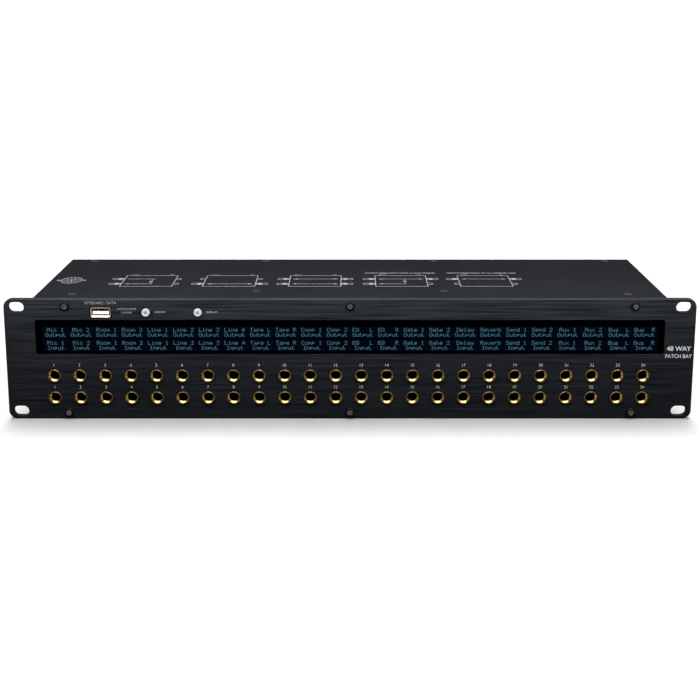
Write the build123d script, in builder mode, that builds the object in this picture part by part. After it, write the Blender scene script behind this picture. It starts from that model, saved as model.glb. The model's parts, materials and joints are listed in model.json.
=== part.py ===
from build123d import *
import math
import os

# Rack-mounted audio patch bay, two units high: 24 columns of two jacks on the front, the same jacks
# again on the rear, and a strip of displays above the front jacks that names every circuit.
# Millimetres. The origin is the middle of the four rack slots, on the mounting face, which is the
# rear of the front panel. +X runs to the right seen from the front, +Y to the rear and +Z up.

os.makedirs("parts", exist_ok=True)

# ---------------------------------------------------------------- driving dimensions
# front panel, a 19 inch rack panel
panel_w = 482.6
panel_h = 88.1
panel_t = 3.0
panel_corner_r = 6.0
panel_edge_chamfer = 0.35
rack_spacing_x = 465.1
rack_spacing_z = 76.2
rack_slot_l = 11.0
rack_slot_h = 7.4

# sheet-metal case behind it
case_w = 446.0
case_h = 86.9
case_d = 98.0
cover_t = 1.2
cover_bend_r = 1.8
plate_t = 1.5
side_gap = 0.2
cover_inset = 0.2
hair = 0.02

# jacks for 1/4 inch plugs
columns = 24
pitch_x = 18.0
jack_field_x = -1.0
upper_row_z = -12.0
lower_row_z = -28.2
plug_bore_r = 3.25
socket_seat = 7.2
front_sleeve_r = 4.45
front_sleeve_proud = 0.8
rear_sleeve_r = 4.5
rear_sleeve_proud = 4.2
sleeve_gap = 0.15
housing_w = 13.6
housing_l = 30.0
housing_cavity_r = 3.6

# display strip
window_w = 440.2
window_h = 25.2
window_z = 16.3
window_corner_r = 1.6
lit_w = 432.0
modules_across = 6
module_h = 8.6
module_row_z = (18.5, 9.1)

# controls above the display
control_z = 34.5
update_x = -142.2
display_x = -106.0
button_r = 2.75
button_hole_r = 3.15
button_travel = 0.5
usb_x = -173.6
usb_z = 34.4
usb_cut_w = 15.5
usb_cut_h = 8.5
usb_cut_corner_r = 0.8

# fasteners
screw_r = 1.5
screw_thread_r = 1.52
screw_clear_r = 1.7

# ---------------------------------------------------------------- places that follow from them
panel_front_y = -panel_t
cover_top_z = case_h / 2
cover_under_z = cover_top_z - cover_t
floor_z = -case_h / 2
inner_w = case_w - 2 * cover_t - 2 * side_gap
column_x = [jack_field_x + (i - (columns - 1) / 2) * pitch_x for i in range(columns)]
row_points = [[(x, z) for x in column_x] for z in (upper_row_z, lower_row_z)]
jack_points = row_points[0] + row_points[1]
front_housing_y = 1.0
rear_housing_y = case_d - plate_t
board_y = 11.0
board_t = 1.6


def facing(y):
    """The plane parallel to the panel at depth y, seen from the front."""
    return Plane.XZ.offset(-y)


def front_at(points, y):
    """Planes at depth y that look out of the front, for pieces put in from there."""
    return [Plane(origin=(x, y, z), x_dir=(1, 0, 0), z_dir=(0, -1, 0)) for x, z in points]


def rear_at(points, y):
    """Planes at depth y that look out of the rear."""
    return [Plane(origin=(x, y, z), x_dir=(-1, 0, 0), z_dir=(0, 1, 0)) for x, z in points]


def repeat(piece, places):
    """The same piece at each of the places, as separate solids."""
    with BuildPart() as group:
        with Locations(*places):
            add(piece.part)
    return group


# ---------------------------------------------------------------- screws
# Each screw stands on its head's rim plane: the head is above it, or flush with it if countersunk,
# and the shank runs down.
screw_head_r = 3.1
screw_head_h = 1.7
hex_recess = 2.0
recess_depth = 1.0
cross_arm = 3.0
cross_w = 0.65
flat_head_r = 2.7
flat_sink_r = 2.9
flat_head_h = flat_head_r - screw_r
panel_screw_l = 8.0
cover_screw_l = 5.0
board_screw_l = 5.0
screw_tip = 0.3
head_round = 1.36


def round_screw(length):
    """A button-head screw with a hexagon recess."""
    with BuildPart() as screw:
        with BuildSketch():
            Circle(screw_head_r)
        extrude(amount=screw_head_h)
        fillet(screw.faces().sort_by(Axis.Z)[-1].edges(), radius=head_round)
        with BuildSketch(Plane.XY.offset(screw_head_h)):
            RegularPolygon(radius=hex_recess / 2, side_count=6, major_radius=False)
        extrude(amount=-recess_depth, mode=Mode.SUBTRACT)
        with BuildSketch():
            Circle(screw_r)
        extrude(amount=-length)
        chamfer(screw.faces().sort_by(Axis.Z)[0].edges(), length=screw_tip)
    return screw


def flat_screw(length):
    """A countersunk screw with a cross recess, its head flush with the sheet."""
    with BuildPart() as screw:
        with BuildSketch(Plane.XZ):
            with BuildLine():
                Polyline(
                    (0, 0),
                    (flat_head_r, 0),
                    (screw_r, -flat_head_h),
                    (screw_r, -length + screw_tip),
                    (screw_r - screw_tip, -length),
                    (0, -length),
                    close=True,
                )
            make_face()
        revolve(axis=Axis.Z)
        with BuildSketch():
            Rectangle(cross_arm, cross_w)
            Rectangle(cross_w, cross_arm)
        extrude(amount=-recess_depth, mode=Mode.SUBTRACT)
    return screw


panel_screw_x = 198.5
panel_screw_z = 39.0
panel_screw_points = [
    (x, z) for x in (-panel_screw_x, 0, panel_screw_x) for z in (panel_screw_z, -panel_screw_z)
]
front_cover_screw_points = [(-197, 10), (-67, 17), (67, 17), (197, 10)]
rear_cover_screw_points = [(-203, 94), (-67, 94), (67, 94), (203, 94)]
bottom_screw_points = [(-203, 90), (-67, 90), (67, 90), (203, 90)]
side_screw_points = [(y, -36.0) for y in (20.0, 78.0)]


def side_at(x):
    """Planes at the side screws that look out of both sides of the case, at x and -x."""
    return [
        Plane(origin=(s * x, y, z), z_dir=(s, 0, 0)) for s in (-1, 1) for y, z in side_screw_points
    ]


# ---------------------------------------------------------------- front panel
jack_hole_r = front_sleeve_r + sleeve_gap

with BuildPart() as front_panel:
    with BuildSketch(facing(0)):
        RectangleRounded(panel_w, panel_h, panel_corner_r)
        with GridLocations(rack_spacing_x, rack_spacing_z, 2, 2):
            SlotOverall(rack_slot_l, rack_slot_h, mode=Mode.SUBTRACT)
        with Locations((0, window_z)):
            RectangleRounded(window_w, window_h, window_corner_r, mode=Mode.SUBTRACT)
        with Locations((usb_x, usb_z)):
            RectangleRounded(usb_cut_w, usb_cut_h, usb_cut_corner_r, mode=Mode.SUBTRACT)
        with Locations((update_x, control_z), (display_x, control_z)):
            Circle(button_hole_r, mode=Mode.SUBTRACT)
        with Locations(*jack_points):
            Circle(jack_hole_r, mode=Mode.SUBTRACT)
        with Locations(*panel_screw_points):
            Circle(screw_clear_r, mode=Mode.SUBTRACT)
    extrude(amount=panel_t)
    panel_face = front_panel.faces().sort_by(Axis.Y)[0]
    chamfer(panel_face.outer_wire().edges(), length=panel_edge_chamfer)

panel_screws = repeat(round_screw(panel_screw_l), front_at(panel_screw_points, panel_front_y))

# ---------------------------------------------------------------- chassis tray
# The floor of the case, with a lip in front for the lower panel screws and a low wall each side.
lip_top_z = -36.0
side_wall_h = 13.0
side_wall_y = (plate_t, 83.0)
sheet_bend_r = 1.2

with BuildPart() as chassis_tray:
    with BuildSketch(Plane.YZ):
        with BuildLine():
            Polyline(
                (0, lip_top_z),
                (0, floor_z),
                (case_d, floor_z),
                (case_d, floor_z + plate_t),
                (plate_t, floor_z + plate_t),
                (plate_t, lip_top_z),
                close=True,
            )
        make_face()
    extrude(amount=inner_w / 2, both=True)
    front_bend = chassis_tray.edges().filter_by(Axis.X).group_by(Axis.Z)[0].sort_by(Axis.Y)[0]
    fillet(front_bend, radius=sheet_bend_r)
    with BuildSketch(Plane.XY.offset(floor_z + plate_t)):
        with Locations(
            ((inner_w - plate_t) / 2, sum(side_wall_y) / 2),
            (-(inner_w - plate_t) / 2, sum(side_wall_y) / 2),
        ):
            Rectangle(plate_t, side_wall_y[1] - side_wall_y[0])
    extrude(amount=side_wall_h - plate_t)
    with Locations(*front_at([p for p in panel_screw_points if p[1] < 0], 0)):
        Hole(screw_thread_r, depth=plate_t)
    with Locations(Plane(origin=(0, 0, floor_z), x_dir=(1, 0, 0), z_dir=(0, 0, -1))):
        with Locations(*[(x, -y) for x, y in bottom_screw_points]):
            CounterSinkHole(screw_clear_r, flat_sink_r, depth=plate_t, counter_sink_angle=90)
    with Locations(*side_at(inner_w / 2)):
        Hole(screw_thread_r, depth=plate_t)

# ---------------------------------------------------------------- front rail
# An angle under the cover's front edge. Its upright leg takes the upper panel screws and is cut away
# behind the controls, and its flat leg takes the front cover screws.
rail_end_gap = 0.5
rail_w = inner_w - 2 * rail_end_gap
rail_d = 21.0
rail_leg_z = 36.5
rail_notch = (-184.0, -98.0)

with BuildPart() as front_rail:
    with BuildSketch(Plane.YZ):
        with BuildLine():
            Polyline(
                (0, rail_leg_z),
                (0, cover_under_z),
                (rail_d, cover_under_z),
                (rail_d, cover_under_z - plate_t),
                (plate_t, cover_under_z - plate_t),
                (plate_t, rail_leg_z),
                close=True,
            )
        make_face()
    extrude(amount=rail_w / 2, both=True)
    with BuildSketch(facing(0)):
        with Locations(((rail_notch[0] + rail_notch[1]) / 2, rail_leg_z)):
            Rectangle(
                rail_notch[1] - rail_notch[0],
                cover_under_z - plate_t - rail_leg_z,
                align=(Align.CENTER, Align.MIN),
            )
    extrude(amount=-plate_t, mode=Mode.SUBTRACT)
    with Locations(*front_at([p for p in panel_screw_points if p[1] > 0], 0)):
        Hole(screw_thread_r, depth=plate_t)
    with Locations(Plane.XY.offset(cover_under_z)):
        with Locations(*front_cover_screw_points):
            Hole(screw_thread_r, depth=plate_t)

# ---------------------------------------------------------------- rear panel
# A channel section: its face carries the rear jacks and the DC inlet, its upper flange takes the
# rear cover screws and its lower flange stands on the tray.
rear_flange_d = 14.0
inlet_x = 190.0
inlet_z = 22.0
inlet_hole_r = 4.1
rear_jack_hole_r = rear_sleeve_r + sleeve_gap
tray_top_z = floor_z + plate_t

with BuildPart() as rear_panel:
    with BuildSketch(Plane.YZ):
        with BuildLine():
            Polyline(
                (case_d - rear_flange_d, tray_top_z),
                (case_d, tray_top_z),
                (case_d, cover_under_z),
                (case_d - rear_flange_d, cover_under_z),
                (case_d - rear_flange_d, cover_under_z - plate_t),
                (rear_housing_y, cover_under_z - plate_t),
                (rear_housing_y, tray_top_z + plate_t),
                (case_d - rear_flange_d, tray_top_z + plate_t),
                close=True,
            )
        make_face()
    extrude(amount=rail_w / 2, both=True)
    fillet(rear_panel.edges().filter_by(Axis.X).group_by(Axis.Y)[-1], radius=sheet_bend_r)
    with Locations(*rear_at(jack_points, case_d)):
        Hole(rear_jack_hole_r, depth=plate_t)
    with Locations(*rear_at([(inlet_x, inlet_z)], case_d)):
        Hole(inlet_hole_r, depth=plate_t)
    with Locations(Plane.XY.offset(cover_under_z)):
        with Locations(*rear_cover_screw_points):
            Hole(screw_thread_r, depth=plate_t)
    with Locations(Plane.XY.offset(tray_top_z + plate_t)):
        with Locations(*bottom_screw_points):
            Hole(screw_thread_r, depth=plate_t)

# ---------------------------------------------------------------- top cover
# Top and both sides, folded from one sheet. The sides reach down to the tray.
with BuildPart() as top_cover:
    with BuildSketch(facing(0)):
        with BuildLine():
            Polyline(
                (-case_w / 2, floor_z + cover_inset),
                (-case_w / 2, cover_top_z),
                (case_w / 2, cover_top_z),
                (case_w / 2, floor_z + cover_inset),
                (case_w / 2 - cover_t, floor_z + cover_inset),
                (case_w / 2 - cover_t, cover_under_z),
                (-case_w / 2 + cover_t, cover_under_z),
                (-case_w / 2 + cover_t, floor_z + cover_inset),
                close=True,
            )
        make_face()
    extrude(amount=-case_d)
    long_edges = top_cover.edges().filter_by(Axis.Y)
    fillet(long_edges.group_by(Axis.Z)[-1], radius=cover_bend_r)
    inner_bends = long_edges.filter_by(lambda e: abs(e.center().Z - cover_under_z) < hair)
    fillet(inner_bends, radius=cover_bend_r - cover_t)
    with Locations(Plane.XY.offset(cover_top_z)):
        with Locations(*front_cover_screw_points, *rear_cover_screw_points):
            CounterSinkHole(screw_clear_r, flat_sink_r, depth=cover_t, counter_sink_angle=90)
    with Locations(*side_at(case_w / 2)):
        Hole(screw_clear_r, depth=cover_t)

front_cover_screws = repeat(
    flat_screw(cover_screw_l), [(x, y, cover_top_z) for x, y in front_cover_screw_points]
)
rear_cover_screws = repeat(
    flat_screw(cover_screw_l), [(x, y, cover_top_z) for x, y in rear_cover_screw_points]
)
bottom_screws = repeat(
    flat_screw(cover_screw_l),
    [Location((x, y, floor_z), (180, 0, 0)) for x, y in bottom_screw_points],
)
side_screws = repeat(round_screw(board_screw_l), side_at(case_w / 2))

# ---------------------------------------------------------------- jacks
# One jack stands with the front of its body at y = 0 and its bore running along +Y. Its three
# contacts leave the body on the +X side, into the channel board. A rear jack is the same jack
# turned over about X.
body_side = housing_w / 2
slot_reach = 6.0
slot_half_w = 1.7
housing_end_t = 1.2
cavity_end = housing_l - housing_end_t
slot_start = 9.0
contact_t = 0.3
contact_w = 2.4
pin_len = 9.4
pin_w = 1.0
tip_pin_y = 10.5
ring_pin_y = 26.0
sleeve_pin_y = 5.5
contact_pin_z = 5.6
pin_slot_w = 2.0
sleeve_tab_slot_h = 1.1
housing_corner_r = 0.6
tab_sunk = 0.3


def jack_sleeve(outer_r, front_y, mouth_r, mouth_depth, rim):
    """The metal bush of a jack, with the tab that earths it. Its mouth is straight to mouth_depth
    and then narrows at 45 degrees. rim is the chamfer on its outer edge."""
    throat_y = front_y + mouth_depth
    with BuildPart() as sleeve:
        with BuildSketch(Plane.XY):
            with BuildLine():
                Polyline(
                    (mouth_r, front_y),
                    (outer_r - rim, front_y),
                    (outer_r, front_y + rim),
                    (outer_r, socket_seat),
                    (plug_bore_r, socket_seat),
                    (plug_bore_r, throat_y + mouth_r - plug_bore_r),
                    (mouth_r, throat_y),
                    close=True,
                )
            make_face()
        revolve(axis=Axis.Y)
        with BuildSketch(facing(sleeve_pin_y - pin_w / 2)):
            with Locations((outer_r - tab_sunk, 0)):
                Rectangle(pin_len - outer_r + tab_sunk, pin_w, align=(Align.MIN, Align.CENTER))
        extrude(amount=-pin_w)
    return sleeve


def jack_housing(sleeve_r):
    """The plastic body: a seat for the bush, the plug's cavity and a channel for each spring."""
    with BuildPart() as housing:
        with BuildSketch(facing(0)):
            RectangleRounded(housing_w, housing_w, housing_corner_r)
        extrude(amount=-housing_l)
        with BuildSketch(facing(0)):
            Circle(sleeve_r + hair)
        extrude(amount=-socket_seat, mode=Mode.SUBTRACT)
        with BuildSketch(facing(0)):
            Circle(housing_cavity_r)
        extrude(amount=-cavity_end, mode=Mode.SUBTRACT)
        with BuildSketch(facing(slot_start)):
            Rectangle(2 * slot_half_w, 2 * slot_reach)
        extrude(amount=slot_start - cavity_end, mode=Mode.SUBTRACT)
        # openings in the side wall for the three solder tabs
        with BuildSketch(Plane.YZ):
            with Locations((tip_pin_y, contact_pin_z), (ring_pin_y, -contact_pin_z)):
                Rectangle(pin_slot_w, 2 * (slot_reach - contact_pin_z))
        extrude(amount=body_side, mode=Mode.SUBTRACT)
        with BuildSketch(Plane.YZ):
            Rectangle(
                sleeve_pin_y + sleeve_tab_slot_h / 2,
                sleeve_tab_slot_h,
                align=(Align.MIN, Align.CENTER),
            )
        extrude(amount=body_side, mode=Mode.SUBTRACT)
    return housing


def jack_spring(points, pin_y, side):
    """A bent contact strip through the points (y, z), with its solder tab at pin_y."""
    outline = points + [(y, z + side * contact_t) for y, z in reversed(points)]
    with BuildPart() as spring:
        with BuildSketch(Plane.YZ):
            with BuildLine():
                Polyline(*outline, close=True)
            make_face()
        extrude(amount=contact_w / 2, both=True)
        with BuildSketch(Plane.YZ):
            with Locations((pin_y, side * (contact_pin_z + contact_t / 2))):
                Rectangle(pin_w, contact_t)
        extrude(amount=pin_len)
    return spring


front_sleeve = jack_sleeve(
    front_sleeve_r,
    front_y=panel_front_y - front_sleeve_proud - front_housing_y,
    mouth_r=4.2,
    mouth_depth=1.2,
    rim=0.05,
)
rear_sleeve = jack_sleeve(
    rear_sleeve_r,
    front_y=rear_housing_y - case_d - rear_sleeve_proud,
    mouth_r=3.75,
    mouth_depth=0.15,
    rim=0.35,
)
front_housing = jack_housing(front_sleeve_r)
rear_housing = jack_housing(rear_sleeve_r)
tip_spring = jack_spring(
    [(10.0, contact_pin_z), (20.5, contact_pin_z), (24.0, 3.0), (27.0, 4.4)], tip_pin_y, 1
)
ring_spring = jack_spring(
    [(26.5, -contact_pin_z), (21.0, -contact_pin_z), (17.7, -3.0), (14.8, -4.4)], ring_pin_y, -1
)


def front_row(piece, row):
    """A jack piece at every column of a front row."""
    return repeat(piece, [(x, front_housing_y, z) for x, z in row_points[row]])


def rear_row(piece, row):
    """A jack piece at every column of a rear row, turned to face the rear."""
    return repeat(piece, [Location((x, rear_housing_y, z), (180, 0, 0)) for x, z in row_points[row]])


front_sleeves_upper = front_row(front_sleeve, 0)
front_sleeves_lower = front_row(front_sleeve, 1)
front_housings_upper = front_row(front_housing, 0)
front_housings_lower = front_row(front_housing, 1)
rear_sleeves_upper = rear_row(rear_sleeve, 0)
rear_sleeves_lower = rear_row(rear_sleeve, 1)
rear_housings_upper = rear_row(rear_housing, 0)
rear_housings_lower = rear_row(rear_housing, 1)

front_places = [(x, front_housing_y, z) for x, z in jack_points]
rear_places = [Location((x, rear_housing_y, z), (180, 0, 0)) for x, z in jack_points]
front_tip_springs = repeat(tip_spring, front_places)
front_ring_springs = repeat(ring_spring, front_places)
rear_tip_springs = repeat(tip_spring, rear_places)
rear_ring_springs = repeat(ring_spring, rear_places)

# washers and nuts that hold the rear jacks in the rear panel
washer_r = 6.2
washer_t = 0.5
nut_flats = 11.0
nut_h = 2.2
nut_bore_r = rear_sleeve_r + hair
nut_turned = 2.0

with BuildPart() as washer:
    with BuildSketch():
        Circle(washer_r)
        Circle(nut_bore_r, mode=Mode.SUBTRACT)
    extrude(amount=washer_t)

with BuildPart() as nut:
    with BuildSketch():
        RegularPolygon(radius=nut_flats / 2, side_count=6, major_radius=False, rotation=30)
        Circle(nut_bore_r, mode=Mode.SUBTRACT)
    extrude(amount=nut_h)
    # the corners are turned off at 30 degrees on the outer face
    with BuildSketch(Plane.XZ):
        with BuildLine():
            Polyline(
                (nut_flats / 2, nut_h),
                (nut_flats / 2 + nut_turned, nut_h),
                (nut_flats / 2 + nut_turned, nut_h - nut_turned * math.tan(math.radians(30))),
                close=True,
            )
        make_face()
    revolve(axis=Axis.Z, mode=Mode.SUBTRACT)

rear_jack_washers = repeat(washer, rear_at(jack_points, case_d))
rear_jack_nuts = repeat(nut, rear_at(jack_points, case_d + washer_t))

# ---------------------------------------------------------------- channel boards
# One upright circuit board beside each column joins its front pair of jacks to its rear pair.
channel_board_y = (4.0, 93.5)
channel_board_z = (lower_row_z - body_side, upper_row_z + body_side)
pin_hole_r = 0.8
front_pins = [
    (front_housing_y + tip_pin_y, contact_pin_z + contact_t / 2),
    (front_housing_y + ring_pin_y, -contact_pin_z - contact_t / 2),
    (front_housing_y + sleeve_pin_y, 0),
]
rear_pins = [
    (rear_housing_y - tip_pin_y, -contact_pin_z - contact_t / 2),
    (rear_housing_y - ring_pin_y, contact_pin_z + contact_t / 2),
    (rear_housing_y - sleeve_pin_y, 0),
]
pin_holes = [(y, row + z) for row in (upper_row_z, lower_row_z) for y, z in front_pins + rear_pins]

with BuildPart() as channel_board:
    with BuildSketch(Plane.YZ.offset(body_side)):
        with Locations((sum(channel_board_y) / 2, sum(channel_board_z) / 2)):
            Rectangle(channel_board_y[1] - channel_board_y[0], channel_board_z[1] - channel_board_z[0])
        with Locations(*pin_holes):
            Circle(pin_hole_r, mode=Mode.SUBTRACT)
    extrude(amount=board_t)

channel_boards = repeat(channel_board, [(x, 0, 0) for x in column_x])

# ---------------------------------------------------------------- display strip
window_gap = 0.2
lens_recess = 0.3
lens_flange_t = 0.8
frame_w = 443.2
frame_h = 28.2
frame_t = 1.4
frame_gap = 0.05
module_w = lit_w / modules_across - 2 * frame_gap
glass_t = 1.2
glass_y = 1.0
carrier_t = 1.0
carrier_margin = 0.5
carrier_h = module_row_z[0] - module_row_z[1] + module_h + 2 * carrier_margin
header_w = 41.0
header_h = 5.0
post_r = 1.8
post_z = 27.3
module_x = [(i - (modules_across - 1) / 2) * lit_w / modules_across for i in range(modules_across)]
carrier_y = glass_y + glass_t
carrier_z = sum(module_row_z) / 2

# clear window: a raised middle fills the cut-out, and its rim lies behind the panel
with BuildPart() as display_window:
    with BuildSketch(facing(0)):
        with Locations((0, window_z)):
            RectangleRounded(window_w - 2 * window_gap, window_h - 2 * window_gap, window_corner_r)
    extrude(amount=panel_t - lens_recess)
    with BuildSketch(facing(0)):
        with Locations((0, window_z)):
            Rectangle(frame_w, frame_h)
    extrude(amount=-lens_flange_t)

# black frame behind the window, with an opening for each row of displays and posts that bear on
# the display board
with BuildPart() as display_frame:
    with BuildSketch(facing(lens_flange_t)):
        with Locations((0, window_z)):
            Rectangle(frame_w, frame_h)
        with Locations(*[(0, z) for z in module_row_z]):
            Rectangle(lit_w + 2 * frame_gap, module_h + 2 * frame_gap, mode=Mode.SUBTRACT)
    extrude(amount=-frame_t)
    with BuildSketch(facing(lens_flange_t + frame_t)):
        with Locations(*[(x + lit_w / modules_across / 2, post_z) for x in module_x[:-1]]):
            Circle(post_r)
    extrude(amount=lens_flange_t + frame_t - board_y)

with BuildPart() as display_modules:
    with BuildSketch(facing(glass_y)):
        with Locations(*[(x, z) for x in module_x for z in module_row_z]):
            Rectangle(module_w, module_h)
    extrude(amount=-glass_t)

with BuildPart() as display_carriers:
    with BuildSketch(facing(carrier_y)):
        with Locations(*[(x, carrier_z) for x in module_x]):
            Rectangle(module_w, carrier_h)
    extrude(amount=-carrier_t)

# pin headers between each carrier and the display board
with BuildPart() as display_headers:
    with BuildSketch(facing(carrier_y + carrier_t)):
        with Locations(*[(x, carrier_z) for x in module_x]):
            Rectangle(header_w, header_h)
    extrude(amount=carrier_y + carrier_t - board_y)

# ---------------------------------------------------------------- display board
display_board_w = 428.0
display_board_z = (-4.4, 38.0)
standoff_flats = 5.0
standoff_points = [(x, z) for x in (-205.0, -70.0, 70.0, 205.0) for z in (33.0, -1.4)]
board_back_y = board_y + board_t

with BuildPart() as display_board:
    with BuildSketch(facing(board_y)):
        with Locations((0, sum(display_board_z) / 2)):
            Rectangle(display_board_w, display_board_z[1] - display_board_z[0])
        with Locations(*standoff_points):
            Circle(screw_clear_r, mode=Mode.SUBTRACT)
    extrude(amount=-board_t)

with BuildPart() as board_standoffs:
    with BuildSketch(facing(0)):
        with Locations(*standoff_points):
            RegularPolygon(radius=standoff_flats / 2, side_count=6, major_radius=False)
            Circle(screw_thread_r, mode=Mode.SUBTRACT)
    extrude(amount=-board_y)

board_screws = repeat(round_screw(board_screw_l), rear_at(standoff_points, board_back_y))

# processor, display drivers and capacitors on the back of the board
processor_place = (-30.0, 14.0)
processor_w = 14.0
processor_t = 1.4
driver_size = (10.0, 4.0)
driver_z = 4.0
driver_t = 1.7
capacitor_points = [(120.0 + i * 8.0, 10.0) for i in range(3)]
capacitor_r = 3.15
capacitor_l = 7.0
edge_break = 0.3

with BuildPart() as processor_chip:
    with BuildSketch(facing(board_back_y)):
        with Locations(processor_place):
            Rectangle(processor_w, processor_w)
    extrude(amount=-processor_t)
    chamfer(processor_chip.faces().sort_by(Axis.Y)[-1].edges(), length=edge_break)

with BuildPart() as driver_chips:
    with BuildSketch(facing(board_back_y)):
        with Locations(*[(x, driver_z) for x in module_x]):
            Rectangle(*driver_size)
    extrude(amount=-driver_t)

with BuildPart() as board_capacitors:
    with BuildSketch(facing(board_back_y)):
        with Locations(*capacitor_points):
            Circle(capacitor_r)
    extrude(amount=-capacitor_l)
    fillet(board_capacitors.faces().sort_by(Axis.Y)[-3:].edges(), radius=edge_break)

# ---------------------------------------------------------------- buttons and their switches
# Each cap is pushed out against the back of the panel by its switch, and travels straight in.
cap_proud = 1.3
collar_r = 3.6
collar_t = 0.85
collar_gap = 0.05
stem_r = 1.6
stem_end = 8.6
cap_round = 0.45
switch_w = 6.0
switch_y = 7.5
switch_bore_r = 1.66
switch_bore_spare = 0.3
switch_bore_end = stem_end + button_travel + switch_bore_spare
switch_corner_r = 0.5
dimple_r = 1.2
dimple_depth = 0.3


def push_button(x):
    """A round cap with a collar behind the panel and a stem that reaches into the switch."""
    with BuildPart() as button:
        with BuildSketch(facing(collar_gap)):
            with Locations((x, control_z)):
                Circle(button_r)
        extrude(amount=panel_t + collar_gap + cap_proud)
        fillet(button.faces().sort_by(Axis.Y)[0].edges(), radius=cap_round)
        with BuildSketch(facing(collar_gap)):
            with Locations((x, control_z)):
                Circle(collar_r)
        extrude(amount=-collar_t)
        with BuildSketch(facing(collar_gap)):
            with Locations((x, control_z)):
                Circle(stem_r)
        extrude(amount=collar_gap - stem_end)
        # shallow dimple in the middle of the cap
        with BuildSketch(facing(panel_front_y - cap_proud)):
            with Locations((x, control_z)):
                Circle(dimple_r)
        extrude(amount=-dimple_depth, mode=Mode.SUBTRACT)
    return button


update_button = push_button(update_x)
display_button = push_button(display_x)

with BuildPart() as switch_bodies:
    with BuildSketch(facing(switch_y)):
        with Locations((update_x, control_z), (display_x, control_z)):
            RectangleRounded(switch_w, switch_w, switch_corner_r)
    extrude(amount=switch_y - board_y)
    with BuildSketch(facing(switch_y)):
        with Locations((update_x, control_z), (display_x, control_z)):
            Circle(switch_bore_r)
    extrude(amount=switch_y - switch_bore_end, mode=Mode.SUBTRACT)

# ---------------------------------------------------------------- USB socket
# An upright type A socket on the display board. Its sheet shell flares at the mouth.
usb_mouth_y = panel_front_y - 0.3
usb_flare_d = 1.0
usb_flare_y = usb_mouth_y + usb_flare_d
usb_inner_w = 12.5
usb_inner_h = 5.12
usb_sheet = 0.3
usb_fold_r = 0.6
usb_lip_w = 13.9
usb_lip_h = 7.4
usb_lip_r = 1.3
usb_tongue_w = 11.1
usb_tongue_h = 2.0
usb_tongue_z = -0.45
usb_tongue_back = 0.9
usb_base_y = 7.0
usb_base_gap = 0.05
usb_contact_w = 1.0
usb_contact_t = 0.35
usb_contact_back = 1.3
usb_contact_x = [usb_x + offset for offset in (-3.5, -1.0, 1.0, 3.5)]

# the shell: a bell mouth between its lips and the straight part
with BuildPart() as usb_shell:
    with BuildSketch(facing(usb_flare_y)):
        with Locations((usb_x, usb_z)):
            RectangleRounded(usb_inner_w + 2 * usb_sheet, usb_inner_h + 2 * usb_sheet, usb_fold_r)
    extrude(amount=usb_flare_y - board_y)
    for inset, mode in ((0, Mode.ADD), (usb_sheet, Mode.SUBTRACT)):
        with BuildSketch(facing(usb_mouth_y)):
            with Locations((usb_x, usb_z)):
                RectangleRounded(usb_lip_w - 2 * inset, usb_lip_h - 2 * inset, usb_lip_r - inset)
        with BuildSketch(facing(usb_flare_y)):
            with Locations((usb_x, usb_z)):
                RectangleRounded(
                    usb_inner_w + 2 * (usb_sheet - inset),
                    usb_inner_h + 2 * (usb_sheet - inset),
                    usb_fold_r - inset,
                )
        loft(mode=mode)
    with BuildSketch(facing(usb_flare_y)):
        with Locations((usb_x, usb_z)):
            RectangleRounded(usb_inner_w, usb_inner_h, usb_fold_r - usb_sheet)
    extrude(amount=usb_flare_y - board_y, mode=Mode.SUBTRACT)

with BuildPart() as usb_tongue:
    with BuildSketch(facing(usb_base_y)):
        with Locations((usb_x, usb_z)):
            RectangleRounded(
                usb_inner_w - 2 * usb_base_gap,
                usb_inner_h - 2 * usb_base_gap,
                usb_fold_r - usb_sheet,
            )
    extrude(amount=usb_base_y - board_y)
    with BuildSketch(facing(usb_base_y)):
        with Locations((usb_x, usb_z + usb_tongue_z)):
            Rectangle(usb_tongue_w, usb_tongue_h)
    extrude(amount=usb_base_y - usb_mouth_y - usb_tongue_back)

# four contact springs along the top of the tongue
with BuildPart() as usb_contacts:
    with BuildSketch(facing(usb_base_y)):
        with Locations(*[(x, usb_z + usb_tongue_z + usb_tongue_h / 2) for x in usb_contact_x]):
            Rectangle(usb_contact_w, usb_contact_t, align=(Align.CENTER, Align.MIN))
    extrude(amount=usb_base_y - usb_mouth_y - usb_contact_back)

# ---------------------------------------------------------------- DC inlet and its lead
# A barrel inlet in the rear panel, held by a nut outside, and a two-wire lead to the display board.
inlet_shoulder_r = 5.4
inlet_body_l = 12.5
inlet_proud = 3.0
inlet_bore_r = 2.8
inlet_bore_l = 9.5
inlet_pin_r = 1.05
inlet_nut_h = 2.0
inlet_nut_flats = 10.0
inlet_neck_r = inlet_hole_r - 0.1
inlet_pin_back = 0.8
inlet_pin_round = 0.4
inlet_place = rear_at([(inlet_x, inlet_z)], rear_housing_y)

with BuildPart() as dc_inlet_body:
    with Locations(*inlet_place):
        Cylinder(inlet_shoulder_r, inlet_body_l, align=(Align.CENTER, Align.CENTER, Align.MAX))
        Cylinder(
            inlet_neck_r,
            plate_t + inlet_proud,
            align=(Align.CENTER, Align.CENTER, Align.MIN),
        )
    with Locations(*rear_at([(inlet_x, inlet_z)], case_d + inlet_proud)):
        Hole(inlet_bore_r, depth=inlet_bore_l)
    mouth = dc_inlet_body.edges().filter_by(GeomType.CIRCLE).group_by(Axis.Y)[-1]
    chamfer(mouth, length=edge_break)

with BuildPart() as dc_inlet_pin:
    with Locations(*rear_at([(inlet_x, inlet_z)], case_d + inlet_proud - inlet_bore_l)):
        Cylinder(inlet_pin_r, inlet_bore_l - inlet_pin_back, align=(Align.CENTER, Align.CENTER, Align.MIN))
    fillet(dc_inlet_pin.faces().sort_by(Axis.Y)[-1].edges(), radius=inlet_pin_round)

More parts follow.
